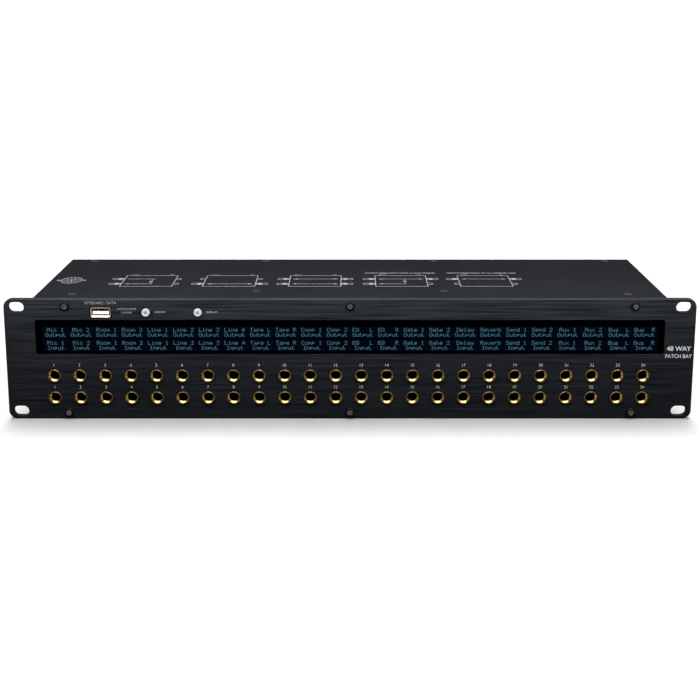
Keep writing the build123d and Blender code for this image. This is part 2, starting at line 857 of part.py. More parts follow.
with BuildPart() as dc_inlet_nut:
    with BuildSketch(facing(case_d)):
        with Locations((inlet_x, inlet_z)):
            RegularPolygon(radius=inlet_nut_flats / 2, side_count=6, major_radius=False, rotation=30)
            Circle(inlet_neck_r + hair, mode=Mode.SUBTRACT)
    extrude(amount=-inlet_nut_h)
    chamfer(dc_inlet_nut.faces().sort_by(Axis.Y)[-1].outer_wire().edges(), length=edge_break)

inlet_back_y = rear_housing_y - inlet_body_l
header_x = 150.0
header_size = (7.5, 5.7)
header_d = 6.0
plug_size = (6.5, 4.7)
plug_l = 5.0
wire_r = 0.8
wire_gap = 2.5
lead_cross_y = 54.0
lead_bend_r = 10.0
lead_end_y = board_back_y + header_d + plug_l

with BuildPart() as power_header:
    with BuildSketch(facing(board_back_y)):
        with Locations((header_x, inlet_z)):
            Rectangle(*header_size)
    extrude(amount=-header_d)

with BuildPart() as power_plug:
    with BuildSketch(facing(board_back_y + header_d)):
        with Locations((header_x, inlet_z)):
            Rectangle(*plug_size)
    extrude(amount=-plug_l)


def lead_wire(offset):
    """One wire of the lead, a straight run from each end and one across, with arcs between."""
    with BuildPart() as wire:
        with BuildLine() as route:
            FilletPolyline(
                (inlet_x + offset, inlet_back_y, inlet_z),
                (inlet_x + offset, lead_cross_y - offset, inlet_z),
                (header_x + offset, lead_cross_y - offset, inlet_z),
                (header_x + offset, lead_end_y, inlet_z),
                radius=lead_bend_r,
            )
        with BuildSketch(Plane(origin=route.line @ 0, z_dir=route.line % 0)):
            Circle(wire_r)
        sweep()
    return wire


with BuildPart() as power_lead:
    add(lead_wire(-wire_gap / 2).part)
    add(lead_wire(wire_gap / 2).part)

# ---------------------------------------------------------------- the finished pieces
pieces = {
    "front_panel": front_panel,
    "panel_screws": panel_screws,
    "chassis_tray": chassis_tray,
    "front_rail": front_rail,
    "rear_panel": rear_panel,
    "top_cover": top_cover,
    "front_cover_screws": front_cover_screws,
    "rear_cover_screws": rear_cover_screws,
    "bottom_screws": bottom_screws,
    "side_screws": side_screws,
    "front_sleeves_upper": front_sleeves_upper,
    "front_sleeves_lower": front_sleeves_lower,
    "front_housings_upper": front_housings_upper,
    "front_housings_lower": front_housings_lower,
    "front_tip_springs": front_tip_springs,
    "front_ring_springs": front_ring_springs,
    "rear_sleeves_upper": rear_sleeves_upper,
    "rear_sleeves_lower": rear_sleeves_lower,
    "rear_housings_upper": rear_housings_upper,
    "rear_housings_lower": rear_housings_lower,
    "rear_tip_springs": rear_tip_springs,
    "rear_ring_springs": rear_ring_springs,
    "rear_jack_washers": rear_jack_washers,
    "rear_jack_nuts": rear_jack_nuts,
    "channel_boards": channel_boards,
    "display_window": display_window,
    "display_frame": display_frame,
    "display_modules": display_modules,
    "display_carriers": display_carriers,
    "display_headers": display_headers,
    "display_board": display_board,
    "board_standoffs": board_standoffs,
    "board_screws": board_screws,
    "processor_chip": processor_chip,
    "driver_chips": driver_chips,
    "board_capacitors": board_capacitors,
    "update_button": update_button,
    "display_button": display_button,
    "switch_bodies": switch_bodies,
    "usb_shell": usb_shell,
    "usb_tongue": usb_tongue,
    "usb_contacts": usb_contacts,
    "dc_inlet_body": dc_inlet_body,
    "dc_inlet_pin": dc_inlet_pin,
    "dc_inlet_nut": dc_inlet_nut,
    "power_header": power_header,
    "power_plug": power_plug,
    "power_lead": power_lead,
}

for name, piece in pieces.items():
    piece.part.label = name
    export_step(piece.part, f"parts/{name}.step")
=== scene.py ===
import json
import math

import bmesh
import bpy
from mathutils import Matrix, Vector


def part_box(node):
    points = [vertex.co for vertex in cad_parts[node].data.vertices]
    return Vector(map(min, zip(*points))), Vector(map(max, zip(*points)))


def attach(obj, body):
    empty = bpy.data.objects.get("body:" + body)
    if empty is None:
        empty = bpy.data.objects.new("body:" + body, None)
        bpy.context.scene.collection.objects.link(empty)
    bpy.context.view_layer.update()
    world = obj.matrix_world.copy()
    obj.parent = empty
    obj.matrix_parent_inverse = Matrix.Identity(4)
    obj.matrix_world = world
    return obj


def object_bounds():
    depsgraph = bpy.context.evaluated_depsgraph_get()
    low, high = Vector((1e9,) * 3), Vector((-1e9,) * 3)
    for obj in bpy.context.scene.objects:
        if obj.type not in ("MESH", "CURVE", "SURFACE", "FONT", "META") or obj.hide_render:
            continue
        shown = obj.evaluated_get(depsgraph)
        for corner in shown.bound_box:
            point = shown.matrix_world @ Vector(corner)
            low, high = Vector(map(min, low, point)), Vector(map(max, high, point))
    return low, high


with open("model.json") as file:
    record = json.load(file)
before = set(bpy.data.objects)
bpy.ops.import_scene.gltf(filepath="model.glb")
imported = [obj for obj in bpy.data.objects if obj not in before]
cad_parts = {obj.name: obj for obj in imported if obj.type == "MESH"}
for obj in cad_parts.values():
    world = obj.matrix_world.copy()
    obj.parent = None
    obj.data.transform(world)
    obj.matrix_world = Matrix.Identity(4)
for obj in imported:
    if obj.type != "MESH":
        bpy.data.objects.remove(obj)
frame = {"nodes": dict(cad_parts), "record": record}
cad_low, cad_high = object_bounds()

# A rack patch bay, two units high. The CAD nodes keep their shapes and get their materials here.
# The prints, the words on the displays and the studio are made here. Everything is in metres.
# Sizes that are easier to read in millimetres are multiplied by MM, and the drawing planes of the
# prints are in millimetres.
MM = 0.001
nodes = frame["nodes"]
record = frame["record"]
mounts = {mount["name"]: mount for mount in record["mounts"]}


def jack_place(side, row, column):
    """Where the record puts the mouth of a jack. Columns count from 1."""
    return Vector(mounts[f"{side}_jack_{row}_{column:02d}"]["pos_m"])


def box_middle(node):
    """The middle of a node's box."""
    low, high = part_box(node)
    return (low + high) / 2


COLUMNS = range(1, 25)
first_jack = jack_place("front", "upper", 1)
pitch = jack_place("front", "upper", 2).x - first_jack.x
row_step = first_jack.z - jack_place("front", "lower", 1).z
panel_face_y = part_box("front_panel")[0].y
cover_top_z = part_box("top_cover")[1].z
rear_face_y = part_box("rear_panel")[1].y


# ---------------------------------------------------------------- materials
class Finish:
    """A Principled material, with short ways to add procedural detail to it. Colour and roughness
    are its plain values, and detail that is joined to them takes their place."""

    def __init__(self, name, colour, roughness, metallic=0.0, specular=0.5):
        self.material = bpy.data.materials.new(name)
        self.material.use_nodes = True
        self.tree = self.material.node_tree
        self.shader = self.tree.nodes["Principled BSDF"]
        self.shader.inputs["Base Color"].default_value = (*colour, 1.0)
        self.shader.inputs["Roughness"].default_value = roughness
        self.shader.inputs["Metallic"].default_value = metallic
        self.shader.inputs["Specular IOR Level"].default_value = specular
        self.place = self.node("ShaderNodeTexCoord").outputs["Object"]

    def node(self, kind, **settings):
        made = self.tree.nodes.new(kind)
        for name, value in settings.items():
            setattr(made, name, value)
        return made

    def join(self, source, target):
        self.tree.links.new(source, target)

    def set(self, **values):
        """Constant values on the shader's own sockets. Underscores stand for spaces."""
        for name, value in values.items():
            self.shader.inputs[name.replace("_", " ")].default_value = value

    def math(self, operation, *inputs):
        """A Math node. Each input is a number or another node's output."""
        made = self.node("ShaderNodeMath", operation=operation)
        for socket, value in zip(made.inputs, inputs):
            if isinstance(value, (int, float)):
                socket.default_value = value
            else:
                self.join(value, socket)
        return made.outputs[0]

    def noise(self, size, stretch=(1, 1, 1), detail=2.0, roughness=0.5):
        """Noise with features of that size in metres, stretched along the axes."""
        mapping = self.node("ShaderNodeMapping")
        mapping.inputs["Scale"].default_value = [1 / (size * s) for s in stretch]
        self.join(self.place, mapping.inputs["Vector"])
        made = self.node("ShaderNodeTexNoise")
        made.inputs["Scale"].default_value = 1.0
        made.inputs["Detail"].default_value = detail
        made.inputs["Roughness"].default_value = roughness
        self.join(mapping.outputs["Vector"], made.inputs["Vector"])
        return made.outputs["Fac"]

    def cells(self, size):
        """The distance from the middle of the nearest Voronoi cell, its size in metres."""
        made = self.node("ShaderNodeTexVoronoi")
        made.inputs["Scale"].default_value = 1 / size
        self.join(self.place, made.inputs["Vector"])
        return made.outputs["Distance"]

    def between(self, value, low, high, start=0.3, end=0.7):
        """value carried smoothly from start..end to low..high."""
        made = self.node("ShaderNodeMapRange", interpolation_type="SMOOTHSTEP")
        made.inputs["From Min"].default_value = start
        made.inputs["From Max"].default_value = end
        made.inputs["To Min"].default_value = low
        made.inputs["To Max"].default_value = high
        self.join(value, made.inputs["Value"])
        return made.outputs["Result"]

    def mix(self, value, dark, light):
        """The colour between dark, where value is 0, and light, where it is 1. Either may be
        another node's output."""
        made = self.node("ShaderNodeMix", data_type="RGBA")
        self.join(value, made.inputs["Factor"])
        for socket, colour in ((made.inputs[6], dark), (made.inputs[7], light)):
            if isinstance(colour, tuple):
                socket.default_value = (*colour, 1.0)
            else:
                self.join(colour, socket)
        return made.outputs[2]

    def off_axis(self, centre, step_x, step_z):
        """The distance from the nearest of the axes along Y, through centre and every step away."""
        place = self.node("ShaderNodeSeparateXYZ")
        self.join(self.place, place.inputs[0])
        squares = []
        for axis, start, step in (("X", centre.x, step_x), ("Z", centre.z, step_z)):
            away = self.math("SUBTRACT", place.outputs[axis], start)
            away = self.math("WRAP", away, step / 2, -step / 2)
            squares.append(self.math("POWER", away, 2.0))
        return self.math("SQRT", self.math("ADD", *squares))

    def colour(self, output):
        self.join(output, self.shader.inputs["Base Color"])

    def clouded(self, value, dark, light):
        """The base colour drifts from dark to light with the noise value."""
        self.colour(self.mix(self.between(value, 0.0, 1.0), dark, light))

    def glow(self, value, dark, light):
        """The surface gives off light, from dark to light with the noise value."""
        tone = self.mix(self.between(value, 0.0, 1.0), dark, light)
        self.join(tone, self.shader.inputs["Emission Color"])
        self.set(Emission_Strength=1.0)

    def rough(self, value, low, high):
        self.join(self.between(value, low, high), self.shader.inputs["Roughness"])

    def bump(self, value, height):
        """Raises the surface by height metres where value is 1."""
        made = self.node("ShaderNodeBump")
        made.inputs["Strength"].default_value = 1.0
        made.inputs["Distance"].default_value = height
        self.join(value, made.inputs["Height"])
        self.join(made.outputs["Normal"], self.shader.inputs["Normal"])


def brushed_panel():
    """Black anodised aluminium, brushed along X."""
    finish = Finish("panel_black", (0.008, 0.0095, 0.0115), 0.42, specular=0.06)
    fine = finish.noise(0.26 * MM, stretch=(160, 1, 1), detail=3.0)
    broad = finish.noise(0.5 * MM, stretch=(120, 1, 1), detail=2.0)
    fine_share = finish.math("MULTIPLY", fine, 0.45)
    broad_share = finish.math("MULTIPLY", broad, 0.55)
    streaks = finish.math("ADD", fine_share, broad_share)
    tone = finish.between(streaks, 0.0, 1.0, 0.40, 0.60)
    finish.colour(finish.mix(tone, (0.0009, 0.0011, 0.0016), (0.0045, 0.0053, 0.0063)))
    finish.rough(streaks, 0.36, 0.52)
    finish.bump(fine, 0.012 * MM)
    return finish.material


def coated_steel():
    """Black powder coat on folded sheet steel, with its fine orange peel."""
    finish = Finish("case_black", (0.011, 0.0115, 0.014), 0.6, specular=0.02)
    peel = finish.noise(0.5 * MM, detail=3.0, roughness=0.6)
    wear = finish.noise(45 * MM, detail=4.0)
    finish.clouded(wear, (0.0072, 0.0078, 0.0098), (0.0094, 0.0102, 0.0124))
    finish.rough(wear, 0.52, 0.66)
    finish.bump(peel, 0.018 * MM)
    return finish.material


def black_oxide():
    """Blackened screw steel."""
    finish = Finish("screw_black", (0.01, 0.01, 0.011), 0.24, specular=0.4)
    grain = finish.noise(0.3 * MM, detail=3.0)
    finish.clouded(grain, (0.004, 0.004, 0.005), (0.012, 0.012, 0.013))
    finish.rough(grain, 0.2, 0.36)
    finish.bump(grain, 0.006 * MM)
    return finish.material


SCREW_HEAD_R = 3.1 * MM  # of a panel screw
LIT_TOP_R = 1.6 * MM  # painted highlight: the flat of the head is lighter out to here
SHADED_RIM_R = 1.85 * MM  # and black from here, painted shade on the rounded rim


def worn_head():
    """The panel screws: blackened, with painted light on the head: its flat top is lighter, where
    it catches the light, and its rounded rim is black, as painted shade.
    """
    finish = Finish("worn_head", (0.01, 0.01, 0.011), 0.4, specular=0.2)
    low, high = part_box("panel_screws")
    step_x = (high.x - low.x) / 2 - SCREW_HEAD_R
    step_z = high.z - low.z - 2 * SCREW_HEAD_R
    radius = finish.off_axis(Vector((0, 0, high.z - SCREW_HEAD_R)), step_x, step_z)
    grain = finish.noise(0.7 * MM, detail=3.0)
    # Painted highlight: the flat top is a lighter grey, and the rim round it is black as painted
    # shade.
    lit_top = finish.mix(finish.between(grain, 0.0, 1.0), (0.05, 0.045, 0.04), (0.22, 0.20, 0.18))
    outer = finish.between(radius, 0.0, 1.0, LIT_TOP_R, SHADED_RIM_R)
    finish.colour(finish.mix(outer, lit_top, (0.002, 0.002, 0.002)))
    finish.rough(grain, 0.42, 0.6)
    finish.bump(grain, 0.01 * MM)
    return finish.material


TOOL_MARK = 0.12 * MM
FRONT_MOUTH_R = 4.18 * MM  # where the polished mouth of a front sleeve ends
REAR_MOUTH_R = 4.6 * MM


def turned_metal(name, dark, light, low, high, mouth_r):
    """Turned and plated metal, with a roughness from low to high. Its tool marks are rings about
    each jack's axis, and its end face, outside mouth_r, is left matt."""
    finish = Finish(name, light, low, metallic=1.0)
    radius = finish.off_axis(first_jack, pitch, row_step)
    rings = finish.node("ShaderNodeTexNoise", noise_dimensions="1D")
    rings.inputs["Scale"].default_value = 1 / TOOL_MARK
    rings.inputs["Detail"].default_value = 2.0
    finish.join(radius, rings.inputs["W"])
    stain = finish.noise(3.5 * MM, detail=3.0)
    finish.clouded(stain, dark, light)
    polish = finish.between(stain, low, high)
    matt = finish.between(radius, 0.0, 0.26, mouth_r, mouth_r + 0.06 * MM)
    finish.join(finish.math("ADD", polish, matt), finish.shader.inputs["Roughness"])
    finish.bump(rings.outputs["Fac"], 0.004 * MM)
    return finish.material


def sheet_metal(name, dark, light, low, high):
    """Plated or rolled metal with a faint grain and stains, and a roughness from low to high."""
    finish = Finish(name, light, low, metallic=1.0)
    grain = finish.noise(0.25 * MM, stretch=(1, 6, 1), detail=2.0)
    stain = finish.noise(5 * MM, detail=3.0)
    finish.clouded(stain, dark, light)
    finish.rough(stain, low, high)
    finish.bump(grain, 0.005 * MM)
    return finish.material


def bright_shell():
    """The tinned sheet of the USB socket: pale, and only half as shiny as polished metal."""
    finish = Finish("bright_shell", (0.46, 0.40, 0.32), 0.34, metallic=0.6)
    stain = finish.noise(2.5 * MM, detail=3.0)
    finish.clouded(stain, (0.36, 0.30, 0.23), (0.50, 0.44, 0.35))
    finish.rough(stain, 0.28, 0.42)
    finish.bump(finish.noise(0.2 * MM), 0.004 * MM)
    return finish.material


def moulded_plastic(name, dark, light, roughness, specular=0.4, grain_size=0.35):
    """Moulded plastic with a spark-eroded grain."""
    finish = Finish(name, light, roughness, specular=specular)
    grain = finish.noise(grain_size * MM, detail=2.0)
    cloud = finish.noise(8 * MM, detail=3.0)
    finish.clouded(cloud, dark, light)
    finish.rough(cloud, roughness - 0.06, roughness + 0.08)
    finish.bump(grain, 0.01 * MM)
    return finish.material


SHADED_DIMPLE_R = 0.9 * MM  # the dimple of a cap is darkened, as painted shade, out to here
UNSHADED_R = 1.3 * MM  # and keeps its plain white from here
ONE_ROW = 1.0  # a step so large that a second row is nowhere near the object


def button_plastic():
    """White plastic, with painted shade making the dimple of each cap darker."""
    finish = Finish("button_white", (0.7, 0.7, 0.7), 0.42, specular=0.4)
    update, display = box_middle("update_button"), box_middle("display_button")
    radius = finish.off_axis(update, display.x - update.x, ONE_ROW)
    cloud = finish.noise(1.5 * MM, detail=3.0)
    unshaded_white = finish.mix(finish.between(cloud, 0.0, 1.0), (0.62, 0.62, 0.63), (0.74, 0.74, 0.74))
    outer = finish.between(radius, 0.0, 1.0, SHADED_DIMPLE_R, UNSHADED_R)
    # Painted shade: the dimple in the middle of each cap is a darker grey.
    finish.colour(finish.mix(outer, (0.30, 0.30, 0.30), unshaded_white))
    finish.rough(cloud, 0.36, 0.5)
    finish.bump(finish.noise(0.35 * MM), 0.01 * MM)
    return finish.material


TRACK_STEP = 9 * MM
VIA_STEP = 4 * MM


def circuit_board():
    """Green solder mask, with tracks under it and plated holes."""
    finish = Finish("board_green", (0.01, 0.09, 0.04), 0.35)
    tracks = finish.node("ShaderNodeTexBrick")
    tracks.inputs["Scale"].default_value = 1 / TRACK_STEP
    tracks.inputs["Mortar Size"].default_value = 0.035
    finish.join(finish.place, tracks.inputs["Vector"])
    holes = finish.between(finish.cells(VIA_STEP), 1.0, 0.0, 0.08, 0.12)
    mask = finish.mix(tracks.outputs["Fac"], (0.006, 0.06, 0.028), (0.02, 0.15, 0.07))
    finish.colour(finish.mix(holes, mask, (0.55, 0.5, 0.38)))
    finish.rough(finish.noise(2 * MM), 0.28, 0.42)
    finish.bump(tracks.outputs["Fac"], 0.03 * MM)
    return finish.material


GRID_STEP = 2 * MM


def display_panel():
    """The display glass: almost black, with its faint blue glow and its grid of electrodes."""
    finish = Finish("display_glass", (0.0005, 0.0005, 0.0005), 0.3, specular=0.0)
    grid = finish.node("ShaderNodeTexBrick", offset=0.0)
    grid.inputs["Scale"].default_value = 1 / GRID_STEP
    grid.inputs["Mortar Size"].default_value = 0.05
    finish.join(finish.place, grid.inputs["Vector"])
    glass, lines = (0.0008, 0.0010, 0.0014), (0.0004, 0.0005, 0.0008)
    finish.colour(finish.mix(grid.outputs["Fac"], glass, lines))
    finish.glow(finish.noise(60 * MM), (0.0005, 0.0020, 0.0050), (0.0007, 0.0026, 0.0062))
    return finish.material


COATED_IOR = 1.12  # lower than acrylic's, for how little the coated window reflects


def clear_acrylic():
    """The window: clear acrylic with an anti-glare coat and the faintest haze."""
    finish = Finish("clear_window", (0.86, 0.9, 0.95), 0.02, specular=0.2)
    finish.set(Transmission_Weight=1.0, IOR=COATED_IOR)
    finish.rough(finish.noise(20 * MM, detail=3.0), 0.0, 0.035)
    return finish.material


def display_light():
    """The lit dots of the displays."""
    finish = Finish("display_light", (0.004, 0.015, 0.02), 0.5, specular=0.0)
    finish.glow(finish.noise(14 * MM), (0.10, 0.25, 0.33), (0.13, 0.32, 0.41))
    return finish.material


def capacitor_sleeve():
    """Aluminium cans with a brushed top."""
    finish = Finish("capacitor_can", (0.6, 0.61, 0.62), 0.3, metallic=1.0)
    grain = finish.noise(0.2 * MM, stretch=(8, 1, 1), detail=3.0)
    finish.clouded(grain, (0.45, 0.46, 0.48), (0.68, 0.69, 0.7))
    finish.rough(grain, 0.25, 0.42)
    finish.bump(grain, 0.006 * MM)
    return finish.material


def ink(name, dark, light):
    """Screen-printed ink: a little uneven, and matt."""
    finish = Finish(name, light, 0.7, specular=0.2)
    cover = finish.noise(0.6 * MM, detail=3.0)
    finish.clouded(cover, dark, light)
    finish.rough(cover, 0.6, 0.8)
    finish.bump(cover, 0.004 * MM)
    return finish.material


# A finish for each material slot of the record, and for some nodes one of their own instead.
finishes = {
    "panel_black": brushed_panel(),
    "case_black": coated_steel(),
    "screw_black": black_oxide(),
    "gold": turned_metal("gold", (0.34, 0.23, 0.08), (0.44, 0.31, 0.12), 0.18, 0.24, FRONT_MOUTH_R),
    "nickel": turned_metal(
        "nickel", (0.50, 0.49, 0.46), (0.68, 0.66, 0.62), 0.2, 0.34, REAR_MOUTH_R
    ),
    "contact_metal": sheet_metal("contact_metal", (0.62, 0.46, 0.2), (0.85, 0.68, 0.36), 0.22, 0.4),
    "black_plastic": moulded_plastic(
        "black_plastic", (0.006, 0.006, 0.007), (0.014, 0.014, 0.015), 0.55, 0.25
    ),
    "board_green": circuit_board(),
    "display_glass": display_panel(),
    "clear_window": clear_acrylic(),
    "button_white": button_plastic(),
    "socket_white": moulded_plastic("socket_white", (0.70, 0.70, 0.70), (0.82, 0.82, 0.81), 0.5),
    "capacitor_can": capacitor_sleeve(),
    "lead_black": moulded_plastic(
        "lead_black", (0.008, 0.008, 0.008), (0.018, 0.018, 0.018), 0.5, 0.35
    ),
}
# The cover screws get a dark grey, lighter than the other black screws, which looks like a grained
# plastic.
grey_screw = moulded_plastic("grey_screw", (0.02, 0.02, 0.021), (0.05, 0.05, 0.052), 0.45, 0.4, 0.2)
own_finishes = {
    # Painted shade: the display frame is a far blacker copy of the black plastic, with no shine,
    # for the shadow it sits in behind the window.
    "display_frame": moulded_plastic(
        "frame_black", (0.0006, 0.0006, 0.0006), (0.001, 0.001, 0.001), 0.6, 0.0
    ),
    "usb_shell": bright_shell(),
    # Painted shade: the USB contacts are gold plated, but are given a near-black metal for the
    # shadow they sit in inside the socket.
    "usb_contacts": sheet_metal(
        "contact_dark", (0.02, 0.018, 0.015), (0.05, 0.045, 0.04), 0.35, 0.5
    ),
    "panel_screws": worn_head(),
    "front_cover_screws": grey_screw,
    "rear_cover_screws": grey_screw,
}
for part in record["subparts"]:
    mesh = nodes[part["node"]].data
    mesh.materials.clear()
    mesh.materials.append(own_finishes.get(part["node"], finishes[part["material_slot"]]))

panel_ink = ink("panel_ink", (0.52, 0.53, 0.54), (0.63, 0.64, 0.65))
cover_ink = ink("cover_ink", (0.17, 0.17, 0.175), (0.23, 0.23, 0.235))
lit_dots = display_light()


# ---------------------------------------------------------------- print
INK_PROUD = 0.03 * MM
INK_SUNK = 0.01 * MM
SHARPEST = 0.3  # the least cosine of half a corner's turn that a line's mitre follows
CAPITAL = 0.729  # height of a capital in the built-in font at size 1


def to_mm(value):
    return value / MM


def arc(centre, radius, start, end, steps):
    """Points round a circle, angles in degrees."""
    angles = [math.radians(start + (end - start) * i / steps) for i in range(steps + 1)]
    return [(centre[0] + radius * math.cos(a), centre[1] + radius * math.sin(a)) for a in angles]


class Print:
    """Ink on one flat face. Its drawing plane has u across and v up, in millimetres, and the
    ink stands a hair above the face."""

    def __init__(self, across, up):
        self.across, self.up = Vector(across), Vector(up)
        self.out = self.across.cross(self.up)
        self.mesh = bmesh.new()

    def at(self, point, height):
        return (self.across * point[0] + self.up * point[1]) * MM + self.out * height

    def sheet(self, loop):
        """A filled outline, given anticlockwise as seen from outside."""
        low = [self.mesh.verts.new(self.at(p, -INK_SUNK)) for p in loop]
        top = [self.mesh.verts.new(self.at(p, INK_PROUD)) for p in loop]
        self.mesh.faces.new(top)
        self.mesh.faces.new(low[::-1])
        for i in range(len(loop)):
            j = (i + 1) % len(loop)
            self.mesh.faces.new((low[i], low[j], top[j], top[i]))

    def bar(self, left, bottom, right, top):
        self.sheet([(left, bottom), (right, bottom), (right, top), (left, top)])

    def line(self, points, width, closed=False):
        """A line of ink along the points, mitred at its corners."""
        points = [Vector(p) for p in points]
        count = len(points)
        rings = []
        for i, here in enumerate(points):
            runs = []
            if closed or i > 0:
                runs.append((here - points[i - 1]).normalized())
            if closed or i < count - 1:
                runs.append((points[(i + 1) % count] - here).normalized())
            along = sum(runs, Vector((0, 0))).normalized()
            side = Vector((-along.y, along.x))
            reach = side * (width / 2 / max(side.dot(Vector((-runs[0].y, runs[0].x))), SHARPEST))
            rings.append(
                [
                    self.mesh.verts.new(self.at(p, h))
                    for p, h in (
                        (here + reach, -INK_SUNK),
                        (here - reach, -INK_SUNK),
                        (here - reach, INK_PROUD),
                        (here + reach, INK_PROUD),
                    )
                ]
            )
        for i in range(count if closed else count - 1):
            a, b = rings[i], rings[(i + 1) % count]
            for k in range(4):
                m = (k + 1) % 4
                self.mesh.faces.new((a[k], a[m], b[m], b[k]))
        if not closed:
            self.mesh.faces.new(rings[0][::-1])
            self.mesh.faces.new(rings[-1])

    def text(self, words, centre, height, width=None, weight=0.0):
        """Words with capitals of that height, centred, and drawn out or in to the width if given.
        Weight fattens the strokes, or thins them where it is negative, in units of the font."""
        curve = bpy.data.curves.new("words", "FONT")
        curve.body = words
        curve.resolution_u = 3
        curve.offset = weight
        drawn = bpy.data.objects.new("words", curve)
        bpy.context.scene.collection.objects.link(drawn)
        drawn_out = drawn.evaluated_get(bpy.context.evaluated_depsgraph_get())
        flat = bpy.data.meshes.new_from_object(drawn_out)
        bpy.data.objects.remove(drawn)
        bpy.data.curves.remove(curve)
        us = [v.co.x for v in flat.vertices]
        middle = (max(us) + min(us)) / 2
        scale_v = height / CAPITAL
        scale_u = width / (max(us) - min(us)) if width else scale_v
        loops = [[flat.vertices[i].co for i in face.vertices] for face in flat.polygons]
        made = {}

        def spot(co):
            return round(co.x, 6), round(co.y, 6)

        def vert(co, h):
            key = (*spot(co), h)
            if key not in made:
                u = centre[0] + (co.x - middle) * scale_u
                v = centre[1] + (co.y - CAPITAL / 2) * scale_v
                made[key] = self.mesh.verts.new(self.at((u, v), h))
            return made[key]

        border = {}
        for loop in loops:
            if (loop[1] - loop[0]).cross(loop[2] - loop[1]).z < 0:
                loop.reverse()
            for a, b in zip(loop, loop[1:] + loop[:1]):
                key = tuple(sorted((spot(a), spot(b))))
                border[key] = None if key in border else (a, b)
            self.mesh.faces.new([vert(co, INK_PROUD) for co in loop])
            self.mesh.faces.new([vert(co, -INK_SUNK) for co in reversed(loop)])
        for edge in border.values():
            if edge:
                a, b = edge
                corners = ((a, -INK_SUNK), (b, -INK_SUNK), (b, INK_PROUD), (a, INK_PROUD))
                self.mesh.faces.new([vert(co, h) for co, h in corners])
        bpy.data.meshes.remove(flat)

    def piece(self, name, material, face, slot, body="case"):
        """The finished print as a piece, with its drawing plane moved out to the face."""
        mesh = bpy.data.meshes.new(name)
        self.mesh.transform(Matrix.Translation(self.out * face))
        self.mesh.normal_update()
        self.mesh.to_mesh(mesh)
        self.mesh.free()
        mesh.materials.append(material)
        made = bpy.data.objects.new(name, mesh)
        bpy.context.scene.collection.objects.link(made)
        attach(made, body)


# ---------------------------------------------------------------- panel print
# Places and sizes here are in millimetres: u across and v up from the middle of the face.
NUMBER_HEIGHT = 2.2
FRONT_NUMBER_RISE = 7.9  # from the middle of a jack to the middle of its number
SOCKET_WORD_V = 41.4
HINT_U = -155.6  # the middle of the two lines between the socket and the first button
HINT_HEIGHT = 1.45
BUTTON_WORD_GAP = 6.0  # from the middle of a button to the start of its word
BUTTON_WORD_RISE = 0.1
TITLE_U = 230.4


def panel_print():
    """Numbers over the jacks and plain words by the controls."""
    drawing = Print((1, 0, 0), (0, 0, 1))
    for row in ("upper", "lower"):
        for column in COLUMNS:
            place = jack_place("front", row, column)
            centre = (to_mm(place.x), to_mm(place.z) + FRONT_NUMBER_RISE)
            drawing.text(str(column), centre, NUMBER_HEIGHT, weight=-0.013)
    socket_u = to_mm(box_middle("usb_shell").x)
    drawing.text("KEYBOARD / DATA", (socket_u, SOCKET_WORD_V), 2.2, width=21.9, weight=-0.022)
    drawing.text("ARROWS MOVE", (HINT_U, 36.9), HINT_HEIGHT, width=13.6, weight=-0.02)
    drawing.text("CURSOR", (HINT_U, 34.2), HINT_HEIGHT, width=7.6, weight=-0.02)
    for node, word, width in (("update_button", "UPDATE", 7.4), ("display_button", "DISPLAY", 7.6)):
        cap = box_middle(node)
        centre = (to_mm(cap.x) + BUTTON_WORD_GAP + width / 2, to_mm(cap.z) + BUTTON_WORD_RISE)
        drawing.text(word, centre, 1.35, width=width, weight=-0.01)
    drawing.text("48 WAY", (TITLE_U, 8.1), 3.4, width=17.0, weight=0.015)
    drawing.text("PATCH BAY", (TITLE_U, 2.5), 2.9, width=18.6)
    drawing.piece("panel_print", panel_ink, -panel_face_y, "socket_white")


# ---------------------------------------------------------------- cover print
# The drawing plane of the cover has u across and v towards the rear of the unit.
LINE = 0.55  # width of the lines
ARROW_LENGTH = 3.4
ARROW_HALF = 1.0
BOX_HALF = 19.0  # half the width of a figure's box
BOX_FRONT = 27.7
BOX_REAR = 54.1
BOX_ROWS = {"u": 45.6, "l": 33.8}  # where the upper and lower sockets of a box are
LINE_START = 2.0  # from the left side of the box to its signal lines
ACROSS = 34.0  # length of a signal line across the whole box
NORMALLED = "OUTPUT FEEDS INPUT UNTIL A PLUG GOES IN"
PARALLEL = "OUTPUT FEEDS INPUT AT ALL TIMES BY LINK"
# Each figure: its middle, its corners with a plug in (left or right, then upper or lower), its
# signal lines (row, length, sides with an arrow head), where a bridge joins the rows, its title.
FIGURES = (
    (-148.7, ("lu", "ll"), (("u", 21.0, ""), ("l", 21.0, "l")), 2.0, None),
    (-88.3, ("ll", "rl"), (("l", ACROSS, "lr"),), None, None),
    (-25.7, ("lu", "ll", "ru", "rl"), (("u", ACROSS, "lr"), ("l", ACROSS, "lr")), None, None),
    (37.8, ("lu", "ll", "ru"), (("u", ACROSS, "lr"), ("l", 20.0, "l")), 3.0, NORMALLED),
    (99.7, ("lu", "ru"), (("u", ACROSS, "lr"),), None, PARALLEL),
)


def plug(drawing, u, v, side):
    """A plug pushed into the side of a box at (u, v); side is -1 on the left, 1 on the right."""

    def bar(near, far, half):
        left, right = sorted((u + side * near, u + side * far))
        drawing.bar(left, v - half, right, v + half)

    bar(0.3, 1.6, 1.3)  # its collar
    bar(1.9, 4.2, 2.1)  # its grip
    turn = 0 if side > 0 else 180
    nose = arc((u + side * 7.3, v), 1.6, turn - 90, turn + 90, 8)
    back = u + side * 4.6
    drawing.line([(back, nose[0][1]), *nose, (back, nose[-1][1])], LINE, closed=True)


